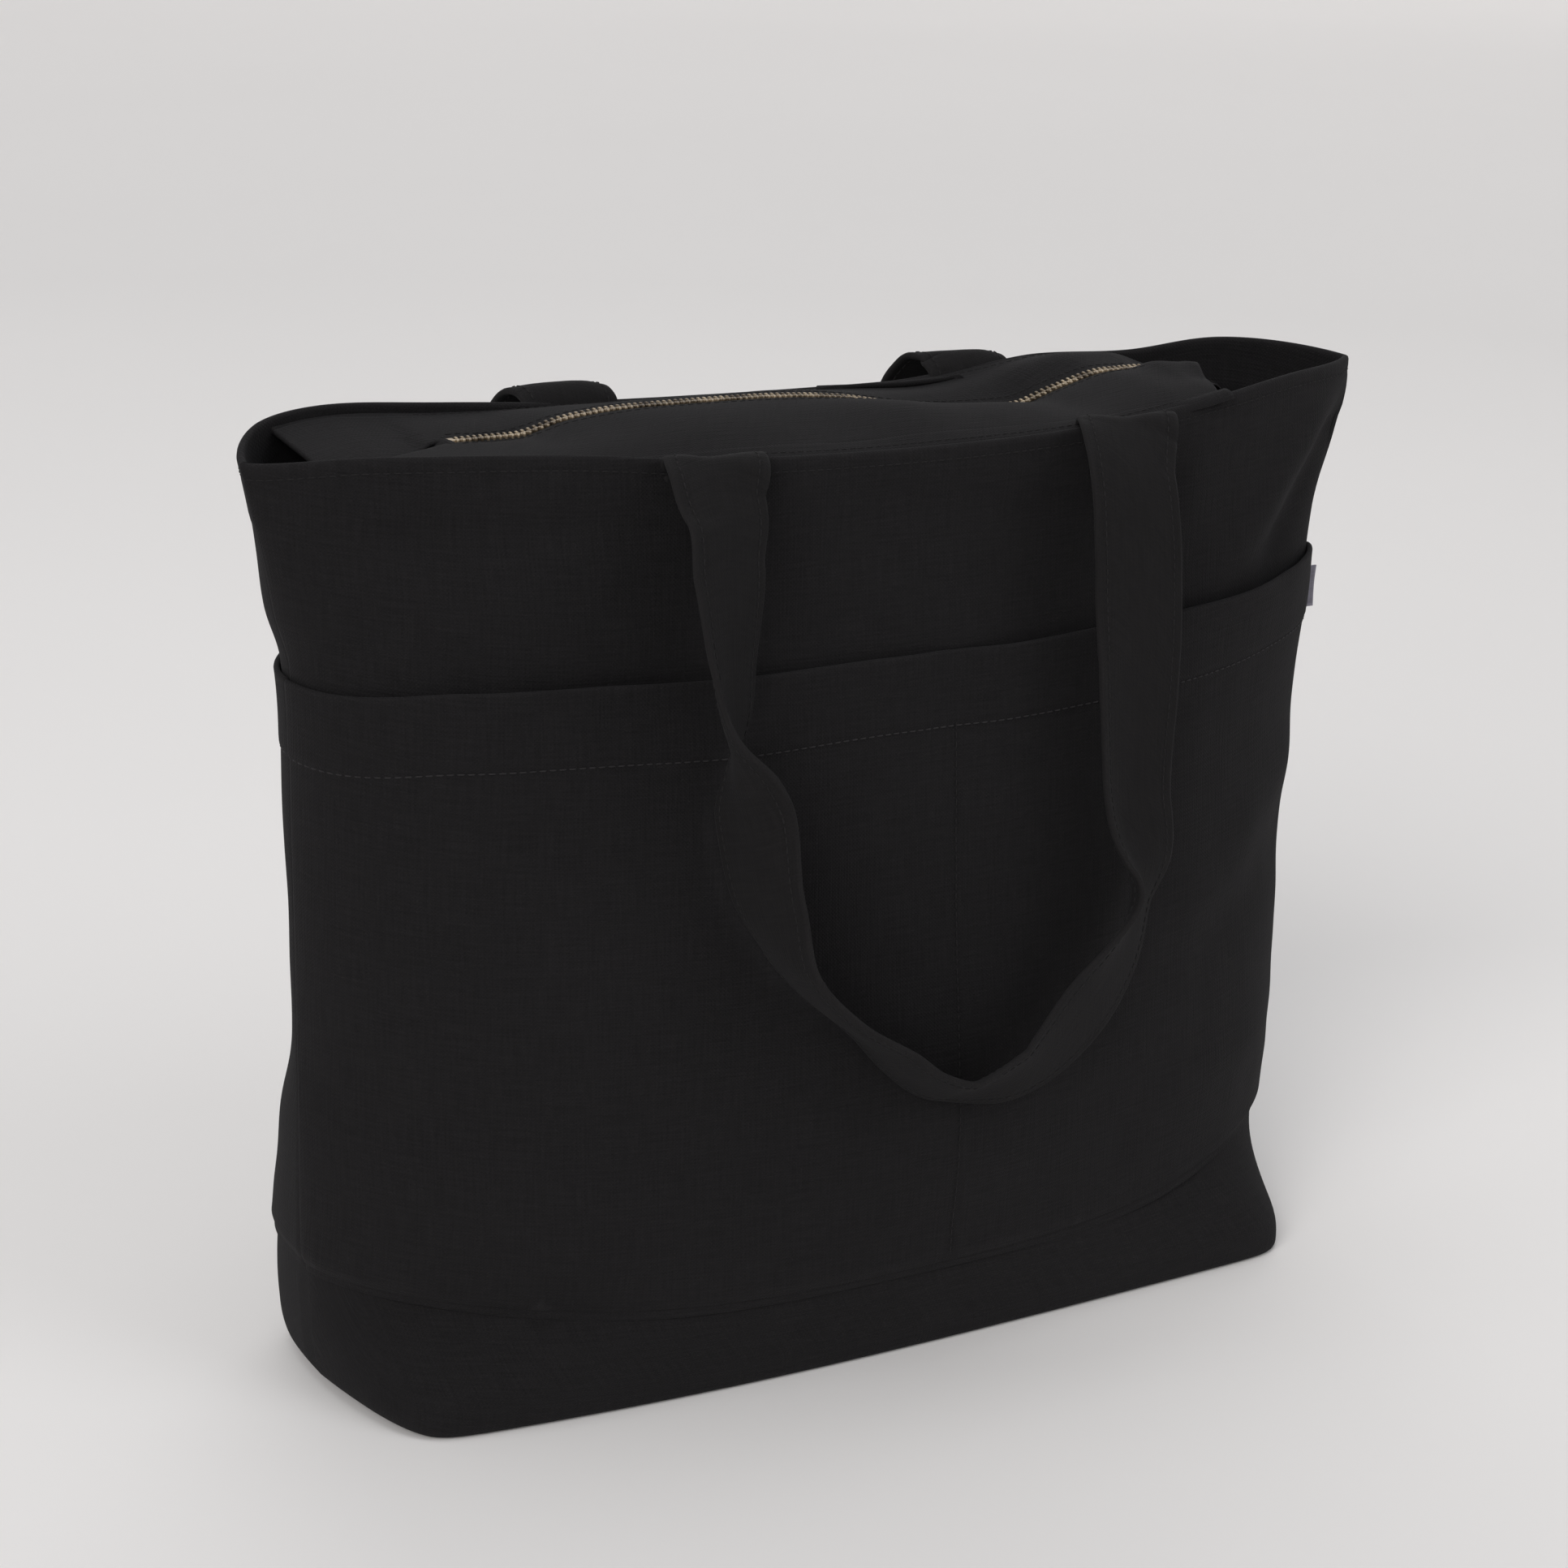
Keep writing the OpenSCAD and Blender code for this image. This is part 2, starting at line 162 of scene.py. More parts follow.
# (start, end, width, height) of the folds of each face, as (across, height) points
PANEL_FOLDS = {
    FRONT: [((252, 364), (190, 296), 12, -5.0), ((224, 370), (164, 304), 12, 4.0),
            ((-215, 350), (-120, 352), 12, -2.6), ((-190, 330), (-110, 300), 16, 2.0),
            ((-60, 366), (40, 362), 9, 1.8), ((-20, 352), (60, 340), 16, -1.5),
            ((130, 366), (118, 316), 9, -2.0)],
    BACK: [((-230, 360), (-150, 310), 16, -4), ((210, 366), (150, 306), 16, -3.5),
           ((-60, 350), (70, 344), 18, -2)],
}
POCKET_FOLDS = {
    FRONT: [((-226, 140), (-170, 118), 16, -2.6), ((-215, 95), (-120, 70), 22, 2.5),
            ((225, 180), (150, 140), 18, -3.0), ((228, 215), (170, 190), 16, 2.2),
            ((120, 80), (205, 100), 18, 2.0), ((-60, 100), (60, 84), 26, 2.0),
            ((-190, 270), (-60, 262), 20, 1.2)],
    BACK: [((-215, 150), (-120, 110), 20, -3), ((210, 170), (120, 120), 22, -3),
           ((-50, 200), (80, 180), 26, 2.5)],
}


def half_width(s, z):
    """Half width of the bag at a height; s runs from -1 at the left seam to 1 at the right seam."""
    right = ramp(s, -1, 1)
    return mix(keyed(LEFT_WIDTH, z), keyed(RIGHT_WIDTH, z), right)


def depth_share(face, s, z):
    """1 in the middle of the face and 0 at the side seams."""
    result = np.zeros(np.broadcast(s, z).shape)
    for hand in (-1, 1):
        across_keys, depth_keys = SQUARE[face, hand]
        part = np.clip(1 - np.abs(s) ** keyed(across_keys, z), 0, 1) ** (1 / keyed(depth_keys, z))
        result = np.where(hand * s >= 0, part, result)
    return result


def skin(face, a, z):
    """A point of the plain shell; a runs from -1 at the left seam to 1 at the right seam."""
    s = np.sin(a * math.pi / 2)
    bow = 1 - mix(0.2, 0.08, ramp(s, -1, 1)) * s**2 * (1 - ramp(z, 5, 60))
    return across(half_width(s, z) * s, face * keyed(DEPTH[face], z) * bow * depth_share(face, s, z), z)


def skin_normal(face, a, z):
    """Direction out of the plain shell."""
    step = 0.004
    a = np.clip(a, -1 + 2 * step, 1 - 2 * step)
    along = skin(face, a + step, z) - skin(face, a - step, z)
    up = skin(face, a, z + 1) - skin(face, a, z - 1)
    return unit(np.cross(along, up)) * -face


def relief(face, x, z):
    """How far the uneven cloth stands out of the plain shell; a pocket shares the folds of its panel."""
    upper = ripples(11 + face, x, z, 70, 170, 1.0)
    for place in PANEL_FOLDS[face]:
        upper = upper + fold(x, z, *place)
    lower = ripples(31 + face, x, z, 80, 190, 1.1)
    for place in POCKET_FOLDS[face]:
        lower = lower + fold(x, z, *place)
    return mix(lower, upper, ramp(z, 268, 316)) + ripples(21 + face, x, z, 18, 45, 0.16, 14)


def base_seam(a):
    """Height of the seam between base and panels, higher at the ends."""
    return 40 + 15 * np.abs(np.sin(a * math.pi / 2)) ** 2.4


def mouth_edge(face, a):
    """Height of the mouth edge along a face."""
    s = np.sin(a * math.pi / 2)
    return keyed(MOUTH[face], s * half_width(s, MOUTH_Z))


def pocket_top(face, a):
    """Height of a pocket's edge: it sags in the middle and drops at the left seam."""
    s = np.sin(a * math.pi / 2)
    sway = ripples(5, s * 233, 0, 90, 160, 0.7) if face == FRONT else 0
    return 297 - 6 * (1 - s**2) - 5 * ramp(-s, 0.8, 1) + sway


def shell(face, a, z, off):
    """A point of the uneven cloth shell, off millimetres outside it; seams and the mouth hold it closer."""
    plain = skin(face, a, z)
    above_base = ramp(z, base_seam(a) - 4, base_seam(a) + 26)
    free = (1 - np.abs(a) ** 10) * above_base * (1 - 0.6 * ramp(z, 345, 374))
    return plain + skin_normal(face, a, z) * (relief(face, plain[..., 0], z) * free + off)[..., None]


# ---------------------------------------------------------------- meshes
def add_object(name, data):
    """A new object in the scene that shows this data."""
    made = bpy.data.objects.new(name, data)
    bpy.context.scene.collection.objects.link(made)
    return made


def make_mesh(name, points, faces, uv, material):
    """A smooth mesh from points in millimetres, with its cloth coordinates in metres."""
    mesh = bpy.data.meshes.new(name)
    mesh.from_pydata((points * MM).tolist(), [], faces)
    layer = mesh.uv_layers.new(name="cloth")
    corners = np.zeros(len(mesh.loops), int)
    mesh.loops.foreach_get("vertex_index", corners)
    layer.data.foreach_set("uv", (uv[corners] * MM).astype(np.float32).ravel())
    work = bmesh.new()
    work.from_mesh(mesh)
    bmesh.ops.recalc_face_normals(work, faces=work.faces)
    work.to_mesh(mesh)
    work.free()
    mesh.polygons.foreach_set("use_smooth", [True] * len(mesh.polygons))
    mesh.materials.append(material)
    return add_object(name + "_cloth", mesh)


def half_round(a, b, ahead, count):
    """Rows that carry a cloth edge round from grid row a to grid row b."""
    middle = (a + b) / 2
    radius = np.linalg.norm(a - b, axis=-1, keepdims=True) / 2
    turns = [math.pi * k / (count + 1) for k in range(1, count + 1)]
    return [middle + (a - middle) * math.cos(t) + ahead * radius * math.sin(t) for t in turns]


def slab(name, outer, inner, material, loop=False, rim=4):
    """A closed sheet between two grids of points, its first and last rows rounded; loop joins its ends."""
    rows = (list(outer) + half_round(outer[-1], inner[-1], unit(outer[-1] - outer[-2]), rim)
            + list(inner[::-1]) + half_round(inner[0], outer[0], unit(outer[0] - outer[1]), rim))
    ring = np.array(rows)
    count, cols = ring.shape[:2]
    step = np.zeros((count, cols))
    step[:, 1:] = np.linalg.norm(ring[:, 1:] - ring[:, :-1], axis=-1)
    u = np.cumsum(step, 1)
    u -= u[:, cols // 2:cols // 2 + 1]
    rise = np.zeros((count, cols))
    rise[1:] = np.linalg.norm(ring[1:] - ring[:-1], axis=-1)
    uv = np.stack([u, np.cumsum(rise, 0)], -1).reshape(-1, 2)
    number = np.arange(count * cols).reshape(count, cols)
    below, above = number, np.roll(number, -1, 0)
    if loop:
        quads = np.stack([below, np.roll(below, -1, 1), np.roll(above, -1, 1), above], -1)
    else:
        quads = np.stack([below[:, :-1], below[:, 1:], above[:, 1:], above[:, :-1]], -1)
    faces = quads.reshape(-1, 4).tolist()
    if not loop:
        tall = len(outer)
        for c in (0, cols - 1):
            for i in range(tall - 1):
                j = 2 * tall + rim - 1 - i
                faces.append([int(number[k, c]) for k in (i, i + 1, j - 1, j)])
            faces.append([int(n) for n in number[tall - 1:tall + rim + 1, c]])
            faces.append([int(n) for n in number[2 * tall + rim - 1:, c]] + [int(number[0, c])])
    return make_mesh(name, ring.reshape(-1, 3), faces, uv, material)


def grid_normals(points, loop=False):
    """Normals of a grid of points from its neighbours."""
    if loop:
        along = np.roll(points, -1, 1) - np.roll(points, 1, 1)
    else:
        along = np.gradient(points, axis=1)
    return unit(np.cross(along, np.gradient(points, axis=0)))


STITCH_PITCH = 3.8
STITCH_LENGTH = 2.7


def stitches(name, lines, material, radius):
    """Short raised threads along lines of (points, normals), a pitch apart, as one piece."""
    sides = 6
    # one thread: (place along it, share of its full radius)
    profile = [(-0.5, 0.25), (-0.32, 1.0), (0.32, 1.0), (0.5, 0.25)]
    template = np.array([[along * STITCH_LENGTH, math.cos(2 * math.pi * k / sides) * radius * wide,
                          math.sin(2 * math.pi * k / sides) * radius * wide - 0.6 * radius * (1 - wide)]
                         for along, wide in profile for k in range(sides)])
    corners = [(0, 0), (0, 1), (1, 1), (1, 0)]
    local = [[(r + up) * sides + (k + on) % sides for up, on in corners]
             for r in range(len(profile) - 1) for k in range(sides)]
    local += [list(range(sides))[::-1], list(range((len(profile) - 1) * sides, len(profile) * sides))]
    points, faces = [], []
    for line, normals in lines:
        run = np.concatenate([[0], np.cumsum(np.linalg.norm(np.diff(line, axis=0), axis=1))])
        for place in np.arange(STITCH_PITCH * 0.7, run[-1] - STITCH_PITCH * 0.5, STITCH_PITCH):
            here = np.array([np.interp(place, run, line[:, k]) for k in range(3)])
            ahead = np.array([np.interp(place + 0.8, run, line[:, k]) for k in range(3)])
            back = np.array([np.interp(place - 0.8, run, line[:, k]) for k in range(3)])
            up = unit(np.array([np.interp(place, run, normals[:, k]) for k in range(3)]))
            along = unit(ahead - back)
            side = unit(np.cross(up, along))
            faces += [[len(points) * len(template) + n for n in f] for f in local]
            points.append(here + template @ np.array([along, side, np.cross(along, side)]) + up * 0.12)
    points = np.concatenate(points)
    return make_mesh(name, points, faces, points[:, :2], material)


# ---------------------------------------------------------------- materials
def node(tree, kind, inputs=(), **settings):
    """A new shader node; an input is a number, a colour or another node's output."""
    made = tree.nodes.new(kind)
    for key, value in settings.items():
        setattr(made, key, value)
    for key, value in dict(inputs).items():
        if hasattr(value, "is_linked"):
            tree.links.new(value, made.inputs[key])
        else:
            made.inputs[key].default_value = value
    return made


def new_material(name):
    """A new material with its node tree and its shader."""
    material = bpy.data.materials.new(name)
    material.use_nodes = True
    tree = material.node_tree
    return material, tree, tree.nodes["Principled BSDF"]


def noise(tree, where, scale, detail):
    """Cloudy noise from 0 to 1."""
    return node(tree, "ShaderNodeTexNoise", {"Vector": where, "Scale": scale, "Detail": detail}).outputs[0]


def remap(tree, value, source, target):
    """A value moved from one range to another, held at its ends."""
    ends = {"From Min": source[0], "From Max": source[1], "To Min": target[0], "To Max": target[1]}
    return node(tree, "ShaderNodeMapRange", {"Value": value, **ends}).outputs[0]


def maths(tree, operation, *values):
    """The result of a maths node with these inputs."""
    return node(tree, "ShaderNodeMath", dict(enumerate(values)), operation=operation).outputs[0]


def weave_material(name, color, thread=0.00075, bump=0.55, sheen=0.02, roughness=0.95):
    """Plain weave in cloth coordinates, with uneven threads, soft blotches and a painted highlight that
    lightens convex edges.
    """
    material, tree, shader = new_material(name)
    place = node(tree, "ShaderNodeUVMap", uv_map="cloth").outputs["UV"]
    split = node(tree, "ShaderNodeSeparateXYZ", {0: place})

    def wave(axis):
        return maths(tree, "SINE", maths(tree, "MULTIPLY", split.outputs[axis], math.pi / thread))

    lattice = maths(tree, "MULTIPLY", wave("X"), wave("Y"))

    def streaks(scale):
        stretched = node(tree, "ShaderNodeMapping", {"Vector": place, "Scale": scale})
        return node(tree, "ShaderNodeTexNoise", {"Vector": stretched.outputs[0], "Scale": 1.0, "Detail": 3.0},
                    noise_dimensions="2D").outputs[0]

    warp = streaks((1100, 50, 1))
    weft = streaks((50, 1100, 1))
    threads = maths(tree, "ADD", warp, weft)
    grain = maths(tree, "MULTIPLY", lattice, 0.22)
    height = maths(tree, "ADD", threads, grain)
    raised = node(tree, "ShaderNodeBump", {"Strength": bump, "Distance": 0.0006, "Height": height})
    tree.links.new(raised.outputs[0], shader.inputs["Normal"])

    where = node(tree, "ShaderNodeTexCoord").outputs["Object"]
    blotch = noise(tree, where, 14.0, 4.0)
    tone = maths(tree, "MULTIPLY_ADD", height, 0.6, 0.4)
    tone = maths(tree, "MULTIPLY_ADD", blotch, 0.35, tone)
    # painted highlight: convex edges and rims are lightened in the base colour by their pointiness
    edges = node(tree, "ShaderNodeNewGeometry").outputs["Pointiness"]
    tone = maths(tree, "ADD", tone, remap(tree, edges, (0.51, 0.60), (0.0, 0.6)))
    tint = node(tree, "ShaderNodeVectorMath", {0: color, "Scale": tone}, operation="SCALE").outputs[0]
    tree.links.new(tint, shader.inputs["Base Color"])
    rough = maths(tree, "MULTIPLY_ADD", blotch, 0.1, roughness - 0.05)
    tree.links.new(rough, shader.inputs["Roughness"])
    shader.inputs["Sheen Weight"].default_value = sheen
    shader.inputs["Sheen Roughness"].default_value = 0.55
    shader.inputs["Sheen Tint"].default_value = (0.8, 0.8, 0.85, 1)
    shader.inputs["Specular IOR Level"].default_value = 0.12
    return material


def brass_material(name):
    """Antique brass: dark tarnish and rubbed bright brass, mottled at random."""
    material, tree, shader = new_material(name)
    where = node(tree, "ShaderNodeTexCoord").outputs["Object"]
    grain = noise(tree, where, 900.0, 4.0)
    patina = remap(tree, noise(tree, where, 120.0, 2.0), (0.35, 0.65), (0.0, 1.0))
    tarnish, rubbed = (0.10, 0.075, 0.05, 1), (0.42, 0.34, 0.24, 1)
    color = node(tree, "ShaderNodeMix", {0: patina, 6: tarnish, 7: rubbed}, data_type="RGBA")
    tree.links.new(color.outputs[2], shader.inputs["Base Color"])
    tree.links.new(remap(tree, grain, (0.0, 1.0), (0.28, 0.5)), shader.inputs["Roughness"])
    raised = node(tree, "ShaderNodeBump", {"Strength": 0.15, "Distance": 0.0002, "Height": grain})
    tree.links.new(raised.outputs[0], shader.inputs["Normal"])
    shader.inputs["Metallic"].default_value = 0.85
    return material


FINE_THREAD = 0.0004
canvas = weave_material("canvas", (0.0088, 0.0083, 0.0088))
strap_cloth = weave_material("strap_canvas", (0.0085, 0.0080, 0.0083), bump=0.3)
tape_cloth = weave_material("tape_weave", (0.007, 0.0068, 0.007), thread=0.0005, bump=0.25)
thread_cloth = weave_material("thread", (0.0145, 0.0135, 0.014), FINE_THREAD, bump=0.2, sheen=0.08,
                              roughness=0.75)
dark_thread = weave_material("dark_thread", (0.010, 0.0095, 0.0098), FINE_THREAD, bump=0.2, roughness=0.85)
label_cloth = weave_material("label_ribbon", (0.12, 0.115, 0.14), FINE_THREAD, bump=0.2, sheen=0.4,
                             roughness=0.6)
brass = brass_material("antique_brass")


# ---------------------------------------------------------------- canvas panels
COLUMNS = 220
# how far along a face its stitching reaches, short of both seams
STITCHED = np.linspace(-0.985, 0.985, 900)


def spread_columns():
    """Places of a grid's columns between the two seams."""
    return np.linspace(-1, 1, COLUMNS + 1)[None, :]


def hem_profile(drop, width=HEM_DROP, extra=1.2):
    """Extra thickness inside a hem, by distance below the edge."""
    return extra * (1 - ramp(drop, width - 1.5, width + 1.5))


def dress(piece, slot, *nodes):
    """Hides the CAD nodes that a piece stands for and returns the piece; slot is not used."""
    if nodes:
        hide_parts(*nodes)
    return piece


def make_panel(face, name):
    """One face of the body, hemmed and stitched along the mouth."""
    a = spread_columns()
    low, top = base_seam(a) - 3, mouth_edge(face, a) - EDGE_DROP
    share = np.linspace(0, 1, 121)[:, None] ** 0.9
    z = mix(low, top, share)
    drop = top - z
    groove = -0.5 * np.exp(-((drop - 4) / 0.9) ** 2)
    outer = shell(face, a, z, groove + 0.5 * hem_profile(drop, 22, 1.0))
    inner = shell(face, a, z, -CANVAS - hem_profile(drop, 22, 1.3))
    piece = dress(slab(name, outer, inner, canvas), "canvas", name)
    seam = mouth_edge(face, STITCHED) - EDGE_DROP - 4
    rows = [(shell(face, STITCHED, seam, 0.35), skin_normal(face, STITCHED, seam))]
    sewn = dress(stitches(name + "_stitching", rows, dark_thread, radius=0.22), "canvas")
    for made in (piece, sewn):
        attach(made, "bag")


def pocket_gape(face, a, z):
    """How far the pocket stands off the panel: widest at its top, nothing at the seams and the divider."""
    s = np.sin(a * math.pi / 2)
    x = s * POCKET_HALF
    up = np.clip((z - base_seam(a)) / (pocket_top(face, a) - base_seam(a)), 0, 1)
    free = (1 - np.abs(s) ** 8) * up**5
    if face == FRONT:
        wide = 3.2 + 2.2 * np.exp(-((x + 185) / 38) ** 2) + 2.6 * np.exp(-((x - 190) / 30) ** 2)
        return free * wide * (1 - np.exp(-((x - DIVIDER_X) / 15) ** 2))
    return free * 4.0


def make_pocket(face, name):
    """The outside pocket of one face, with its deep hem; the front one is stitched into two compartments."""
    a = spread_columns()
    low, top = base_seam(a), pocket_top(face, a) - POCKET_EDGE_DROP
    share = np.linspace(0, 1, 101)[:, None] ** 0.9
    z = mix(low, top, share)
    drop = top - z
    s = np.sin(a * math.pi / 2)
    tuck = -1.3 * (1 - ramp(z - low, 0, 3.5))
    hem_line = -0.45 * np.exp(-((drop - HEM_DROP) / 0.9) ** 2)
    stand = 0.35 + pocket_gape(face, a, z)
    seam_line = 0.0
    if face == FRONT:
        seam_line = -0.7 * np.exp(-((s * POCKET_HALF - DIVIDER_X) / 1.6) ** 2)
    outer = shell(face, a, z, stand + CANVAS + 0.6 * hem_profile(drop) + tuck + hem_line + seam_line)
    inner = shell(face, a, z, stand - 0.1 * hem_profile(drop))
    piece = dress(slab(name, outer, inner, canvas), "canvas", name)

    def on_pocket(line_a, line_z):
        off = 0.35 + pocket_gape(face, line_a, line_z) + CANVAS
        return shell(face, line_a, line_z, off + 0.1), skin_normal(face, line_a, line_z)

    hem = [on_pocket(STITCHED, pocket_top(face, STITCHED) - POCKET_EDGE_DROP - HEM_DROP)]
    sewn = [dress(stitches(name + "_hem_stitching", hem, thread_cloth, radius=0.28), "canvas")]
    if face == FRONT:
        up = np.linspace(0, 1, 400)
        at = np.full(400, 2 / math.pi * math.asin(DIVIDER_X / POCKET_HALF))
        divider = [on_pocket(at, mix(base_seam(at) + 3, pocket_top(face, at) - 3, up))]
        sewn.append(dress(stitches(name + "_divider_stitching", divider, dark_thread, radius=0.26), "canvas"))
    for made in [piece] + sewn:
        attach(made, "bag")


def end_lift(face, a, y):
    """How far the bottom edge stands off the floor; the left end is lifted most, at the back."""
    s = np.sin(a * math.pi / 2)
    if face == FRONT:
        return 2 * ramp(-s, 0.92, 1.0) + ramp(s, 0.94, 1.0)
    back_corner = np.clip(np.abs(y) / 60, 0, 1)
    return mix(2, 6, back_corner) * ramp(-s, 0.55, 0.93) + mix(1, 4, back_corner) * ramp(s, 0.7, 0.95)


def make_base():
    """Upstand and floor of the boxed base as one cup of cloth."""
    count = 150
    sweep = np.linspace(-1, 1, count + 1)
    turns = [(FRONT, sweep[:-1]), (BACK, sweep[:0:-1])]
    corner = 3.0

    def wall(height):
        parts = []
        for face, a in turns:
            foot = end_lift(face, a, skin(face, a, 6.0)[..., 1])
            z = mix(foot, base_seam(a) + 3.5, height)
            curl = np.clip(1 - (z - foot) / corner, 0, 1)
            inset = -0.9 - corner * (1 - np.sqrt(1 - curl**2))
            x = skin(face, a, z)[..., 0]
            soft = ripples(61 + face, x, z, 60, 150, 0.9) * ramp(z, foot, foot + 16) * (1 - np.abs(a) ** 10)
            parts.append(skin(face, a, z) + skin_normal(face, a, z) * (inset + soft)[..., None])
        return np.concatenate(parts)

    heights = np.concatenate([[0, 0.006, 0.014, 0.028, 0.05, 0.08], np.linspace(0.12, 1, 22)])
    upstand = [wall(h) for h in heights]
    rim_row = upstand[0]
    middle = rim_row * [0.97, 0, 0] + [0, 0, 0.5]
    floor_rows = []
    for share in (1.0, 0.8, 0.6, 0.4, 0.2, 0.08):
        row = mix(rim_row, middle, share)
        row[:, 2] = mix(rim_row[:, 2], 0.5, ramp(share, 0, 0.5))
        floor_rows.append(row)
    outer = np.array(floor_rows + upstand)
    normals = grid_normals(outer, loop=True)
    inner = outer - normals * CANVAS
    inner[:len(floor_rows), :, 2] = outer[:len(floor_rows), :, 2] + CANVAS
    piece = dress(slab("base_panel", outer, inner, canvas, loop=True), "canvas", "base_panel")
    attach(piece, "bag")


def make_seam_bindings():
    """The turned-in seam allowances along both side seams, inside the bag."""
    for hand, name in ((-1, "left_seam_binding"), (1, "right_seam_binding")):
        z = np.linspace(57, 364, 60)
        x = half_width(np.array(float(hand)), z) - CANVAS - 1.2
        sway = ripples(71 + hand, z, 0, 50, 120, 0.5)
        reach = np.linspace(11, 0, 5)[:, None]
        sheet_y = sway[None, :] * (reach / 11)
        outer = across(hand * (x - reach), sheet_y + 1.2, z)
        inner = across(hand * (x - reach), sheet_y - 1.2, z)
        piece = dress(slab(name, outer, inner, tape_cloth, rim=3), "tape", name)
        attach(piece, "bag")


def make_side_tag():
    """A blank folded ribbon in the right side seam."""
    low, high = (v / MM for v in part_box("side_tag"))
    reach = np.linspace(0, 1, 12)
    x = mix(low[0] - 3.5, high[0], reach)[:, None]
    z = np.linspace(low[2], high[2], 14)[None, :]
    bend = 0.5 * np.sin((z - low[2]) / (high[2] - low[2]) * math.pi) * reach[:, None]
    outer = across(x, bend + 0.45, z)
    inner = across(x, bend - 0.45, z)
    piece = dress(slab("side_tag", outer, inner, label_cloth, rim=3), "label", "side_tag")
    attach(piece, "bag")


# ---------------------------------------------------------------- strap handles
STRAP_WIDTH = 38
STRAP_THICK = 2.6
STRAP_STEPS = 420
# centre of the front strap from its sewn left end, over the mouth edge, round the loop to its right end:
# across, depth, height, turn of its width out of the plane of the loop in degrees, curl of its forward edge
FRONT_STRAP = [
    (-86, -49, 340, 0, 0), (-86, -49.5, 355, 0, 0), (-87, -50.5, 366, 0, 0), (-88, -53.5, 372.5, 0, 0),
    (-90, -58.5, 374, -2, 0), (-93, -64.5, 371, -5, 0), (-95, -71, 364.5, -10, 0), (-95.5, -78, 355, -17, 0),
    (-98, -84, 338, -20, 2), (-98, -87, 305, -31, 5), (-97, -89, 281, -41, 9), (-95, -91, 262, -70, 13),
    (-91, -93, 243, -97, 10), (-84, -96, 214, -99, 4), (-73, -98, 188, -88, 3), (-54, -99, 165, -88, 4),
    (-32, -99, 147, -94, 4), (-16, -100, 134, -104, 2), (6, -101, 125, -122, 0), (30, -101, 126, -144, 0),
    (62, -100, 147, -160, 0), (79, -97, 166, -154, -3), (88, -93, 187, -146, -8), (91, -90, 203, -166, -11),
    (87, -87, 228, -178, -9), (86, -86, 255, -181, -7), (86, -86, 285, -182, -4), (84, -86, 320, -180, 0),
    (82, -84, 346, -178, 0), (83, -78, 360, -177, 0), (86, -71, 367, -177, 0), (90, -64, 371.5, -178, 0),
    (94, -57.5, 374, -180, 0), (97, -52.5, 371.5, -180, 0), (98, -49.5, 361, -180, 0),
    (98, -49, 346, -180, 0)]
# the rear strap lies the same way without the half turn between its ends
REAR_STRAP = [
    (-93, 47, 340, 0, 0), (-93, 47.5, 355, 0, 0), (-93, 48.5, 367, 0, 0), (-93, 52, 374.5, 0, 0),
    (-93, 58, 377.5, 0, 0), (-94, 66, 375.5, 0, 0), (-95, 74, 368, 3, 0), (-96, 81, 355, 8, 0),
    (-97, 85, 335, 14, 0), (-98, 87, 300, 24, 0), (-98, 89, 265, 38, 0), (-92, 92, 230, 62, 0),
    (-80, 95, 196, 80, 0), (-58, 98, 166, 88, 0), (-28, 100, 146, 90, 0), (0, 101, 138, 90, 0),
    (28, 100, 145, 90, 0), (58, 98, 165, 88, 0), (78, 95, 195, 80, 0), (86, 92, 230, 62, 0),
    (88, 89, 265, 38, 0), (87, 87, 300, 24, 0), (86, 85, 335, 14, 0), (85, 81, 357, 8, 0),
    (87, 74, 367, 3, 0), (90, 66, 374.5, 0, 0), (92, 58, 377, 0, 0), (92, 52, 374, 0, 0),
    (92, 48.5, 366, 0, 0), (92, 47.5, 355, 0, 0), (92, 47, 340, 0, 0)]


